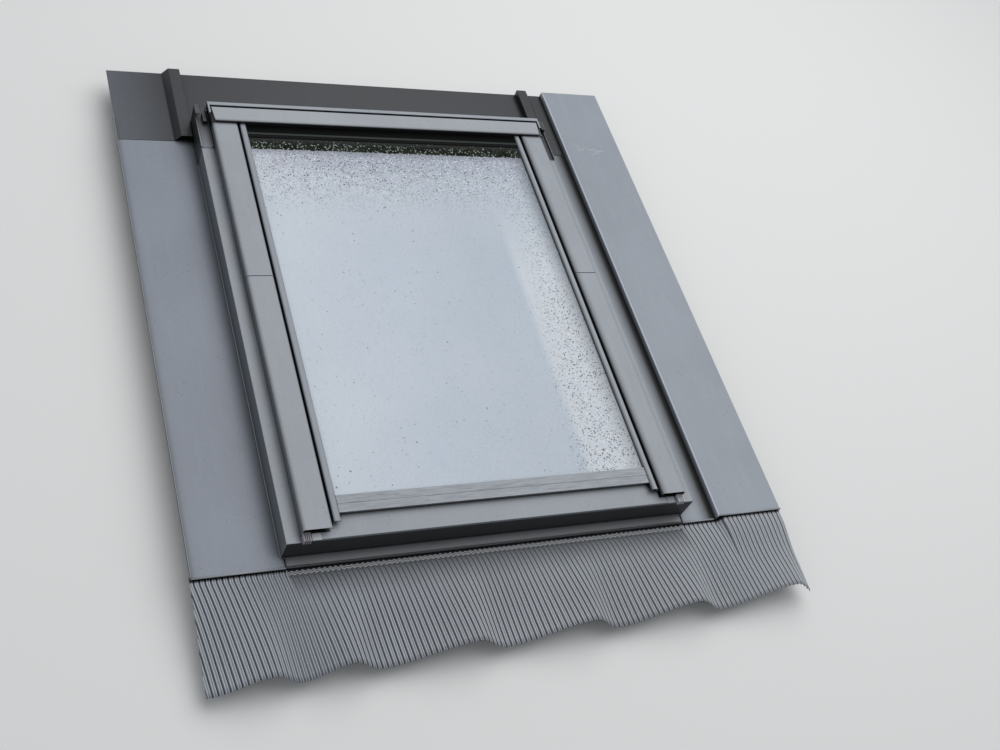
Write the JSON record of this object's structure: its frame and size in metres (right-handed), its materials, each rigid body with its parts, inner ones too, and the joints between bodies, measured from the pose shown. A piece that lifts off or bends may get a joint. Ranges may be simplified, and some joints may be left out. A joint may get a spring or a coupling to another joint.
{
  "type": "centre-pivot roof window",
  "caption": "Centre-pivot roof window with timber frame and sash, grey metal cladding, flashing for pantiles and a pleated apron.",
  "frame": {"origin": "middle of the frame's underside, at the middle of the rough opening", "axes": "+X along the eaves to the right seen from outside, +Y up the slope, +Z out of the roof"},
  "size_m": [1.1563, 1.336, 0.13],
  "materials": {
    "timber": "clear lacquered pine",
    "cladding": "satin dark grey lacquer, damp and a little dusty",
    "flashing": "satin dark grey lacquer",
    "apron": "dark grey lacquer on pleated soft sheet",
    "bright_trim": "worn grey lacquer",
    "glass": "clear, wet with drops",
    "spacer": "matt",
    "rubber": "matt black",
    "plug": "weathered grey",
    "steel": "zinc plated",
    "case": "white",
    "handle": "satin anodised"
  },
  "bodies": {
    "frame": {"frame_jamb_right": "timber", "frame_jamb_left": "timber", "frame_head": "timber", "frame_sill": "timber", "side_cladding_right": "cladding", "side_cladding_left": "cladding", "sill_cladding": "cladding", "head_cladding": "cladding", "head_corner_right": "cladding", "head_corner_left": "cladding", "upper_cover_right": "cladding", "upper_cover_left": "cladding", "upper_cover_clips": "steel", "hood": "cladding", "hood_rim": "cladding", "hood_seal": "rubber", "hinge_track_right": "steel", "hinge_track_left": "steel", "bolt_bush_right": "steel", "bolt_bush_left": "steel", "fixing_brackets": "steel", "bracket_screws": "steel", "side_flashing_right": "flashing", "side_flashing_left": "flashing", "sill_flashing": "flashing", "head_flashing": "flashing", "pleated_apron": "apron"},
    "sash": {"sash_stile_right": "timber", "sash_stile_left": "timber", "sash_top_rail": "timber", "sash_bottom_rail": "timber", "outer_pane": "glass", "inner_pane": "glass", "pane_spacer": "spacer", "glazing_gasket": "rubber", "glazing_bead_right": "cladding", "glazing_bead_left": "cladding", "bottom_glazing_strip": "cladding", "top_glazing_strip": "cladding", "sash_sill_cover": "cladding", "cover_tab_right": "bright_trim", "cover_tab_left": "bright_trim", "cover_plug_right": "plug", "cover_plug_left": "plug", "lower_cover_right": "cladding", "lower_cover_left": "cladding", "lower_cover_clips": "steel", "hinge_arm_right": "steel", "hinge_arm_left": "steel", "upper_sash_seal": "rubber", "lower_sash_seal": "rubber", "lock_case": "case", "rod_keeps": "steel"},
    "handle": {"handle": "handle", "pinion": "steel"},
    "bolt_right": {"bolt_rod_right": "steel"},
    "bolt_left": {"bolt_rod_left": "steel"}
  },
  "joints": [
    {"name": "sash_pivot", "type": "hinge", "parent": "frame", "child": "sash", "pos_m": [0, 0.042, 0.1245], "axis": [-1, 0, 0], "range_deg": [0, 150]},
    {"name": "handle_turn", "type": "hinge", "parent": "sash", "child": "handle", "pos_m": [0, -0.4095, 0.015], "axis": [0, 0, 1], "range_deg": [0, 90]},
    {"name": "bolt_right_slide", "type": "slide", "parent": "sash", "child": "bolt_right", "axis": [1, 0, 0], "range_m": [0, 0.0101]},
    {"name": "bolt_left_slide", "type": "slide", "parent": "sash", "child": "bolt_left", "axis": [-1, 0, 0], "range_m": [0, 0.0101]}
  ],
  "couplings": [
    {"joint": "bolt_right_slide", "follows": "handle_turn", "m_per_rad": 0.0063662},
    {"joint": "bolt_left_slide", "follows": "handle_turn", "m_per_rad": 0.0063662}
  ]
}
